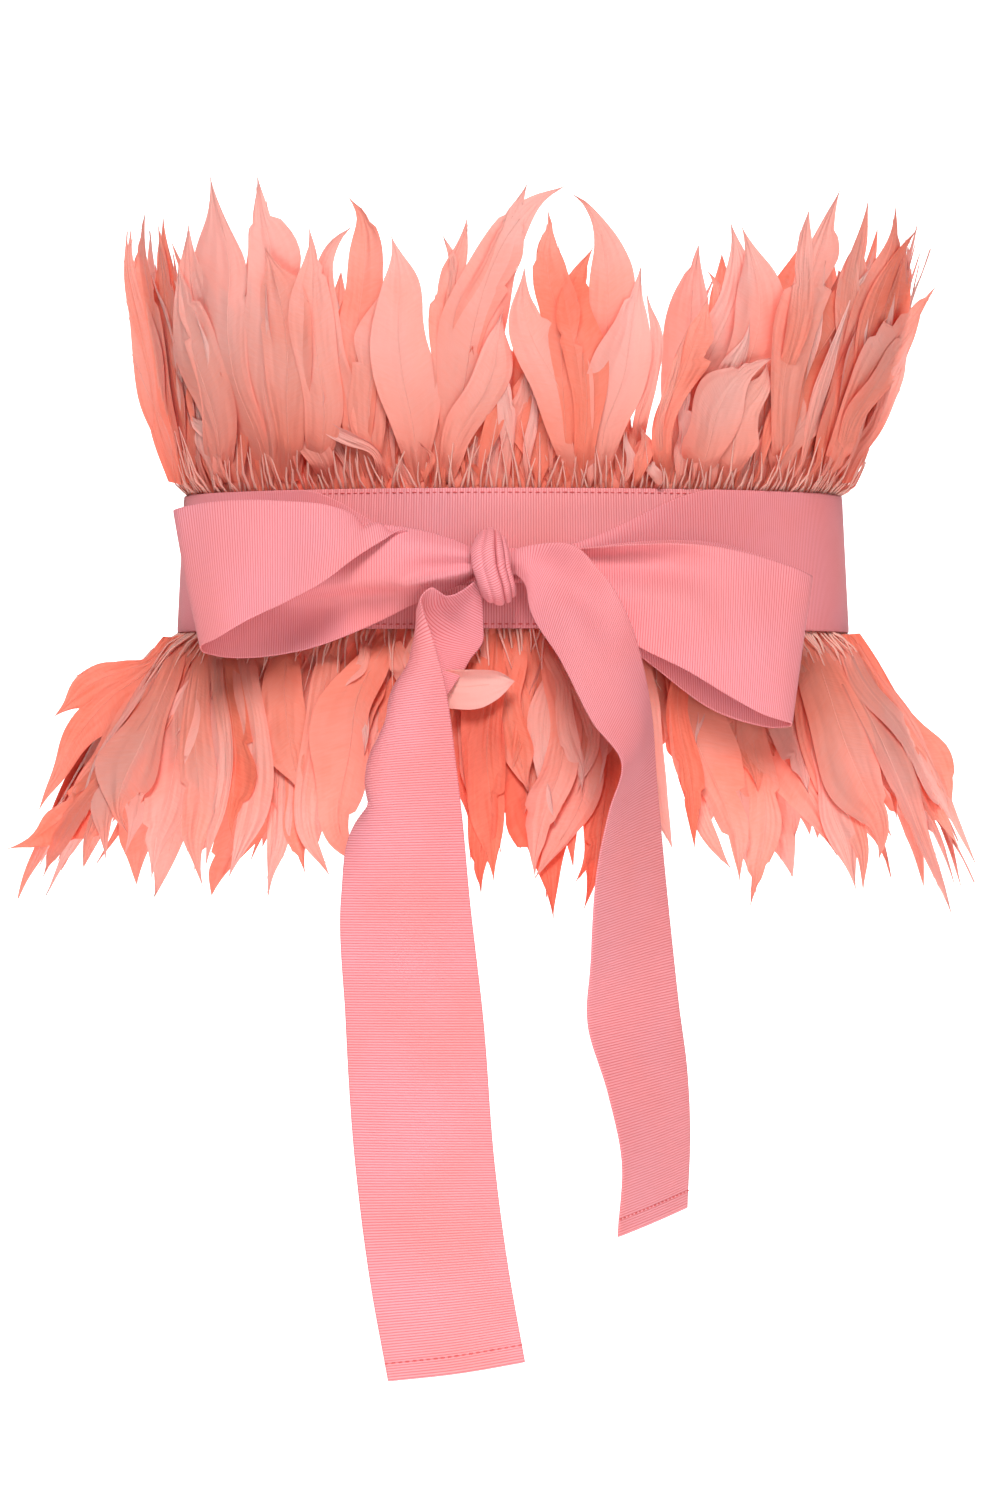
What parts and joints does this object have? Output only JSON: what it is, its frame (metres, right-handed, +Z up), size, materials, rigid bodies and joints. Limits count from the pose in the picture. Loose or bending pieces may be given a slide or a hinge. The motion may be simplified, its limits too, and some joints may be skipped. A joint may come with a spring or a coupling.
{
  "type": "feather belt",
  "caption": "Waistband with a fringe of feathers standing above it and hanging below it, closed by ribbon ties in a bow with hanging tails.",
  "frame": {"origin": "centre of the waist opening at half the height of the waistband", "axes": "+Z up along the wearer's waist, -Y towards the wearer's front where the bow is, +X to the right as seen from the front"},
  "size_m": [0.3603, 0.264, 0.4282],
  "materials": {
    "tie_ribbon": "ribbed grosgrain ribbon, salmon pink, soft sheen",
    "band_ribbon": "ribbed grosgrain facing, salmon pink",
    "lining": "plain woven lining",
    "stiffener": "stiff buckram",
    "tape": "woven tape holding the quills",
    "feather": "dyed feather vanes, peach to coral, soft satin",
    "thread": "sewing thread"
  },
  "bodies": {
    "belt": {"band_facing": "band_ribbon", "band_lining": "lining", "band_stiffener": "stiffener", "top_quill_tape": "tape", "bottom_quill_tape": "tape", "left_end_binding": "band_ribbon", "right_end_binding": "band_ribbon", "top_feathers_01": "feather", "top_feathers_02": "feather", "top_feathers_03": "feather", "top_feathers_04": "feather", "top_feathers_05": "feather", "top_feathers_06": "feather", "top_feathers_07": "feather", "top_feathers_08": "feather", "top_feathers_09": "feather", "top_feathers_10": "feather", "top_feathers_11": "feather", "top_feathers_12": "feather", "top_feathers_13": "feather", "top_feathers_14": "feather", "bottom_feathers_01": "feather", "bottom_feathers_02": "feather", "bottom_feathers_03": "feather", "bottom_feathers_04": "feather", "bottom_feathers_05": "feather", "bottom_feathers_06": "feather", "bottom_feathers_07": "feather", "bottom_feathers_08": "feather", "bottom_feathers_09": "feather", "bottom_feathers_10": "feather", "bottom_feathers_11": "feather", "bottom_feathers_12": "feather", "bottom_feathers_13": "feather", "bottom_feathers_14": "feather", "left_tie": "tie_ribbon", "right_tie": "tie_ribbon", "bow_knot": "tie_ribbon"},
    "loop_left": {"left_loop": "tie_ribbon"},
    "loop_right": {"right_loop": "tie_ribbon"},
    "tail_left": {"left_tail": "tie_ribbon", "left_tail_hem": "tie_ribbon"},
    "tail_right": {"right_tail": "tie_ribbon", "right_tail_hem": "tie_ribbon"}
  },
  "joints": [
    {"name": "left_loop_lift", "type": "hinge", "parent": "belt", "child": "loop_left", "pos_m": [-0.0178, -0.1012, -0.0012], "axis": [0, 1, 0], "range_deg": [-10, 15], "stiffness_Nm_per_rad": 0.05},
    {"name": "right_loop_lift", "type": "hinge", "parent": "belt", "child": "loop_right", "pos_m": [0.0026, -0.1012, -0.0024], "axis": [0, -1, 0], "range_deg": [-6, 15], "stiffness_Nm_per_rad": 0.05},
    {"name": "left_tail_swing", "type": "hinge", "parent": "belt", "child": "tail_left", "pos_m": [-0.026, -0.106, -0.0125], "axis": [-1, 0, 0], "range_deg": [0, 70]},
    {"name": "right_tail_swing", "type": "hinge", "parent": "belt", "child": "tail_right", "pos_m": [0.012, -0.108, 0.006], "axis": [-1, 0, 0], "range_deg": [0, 70]}
  ]
}
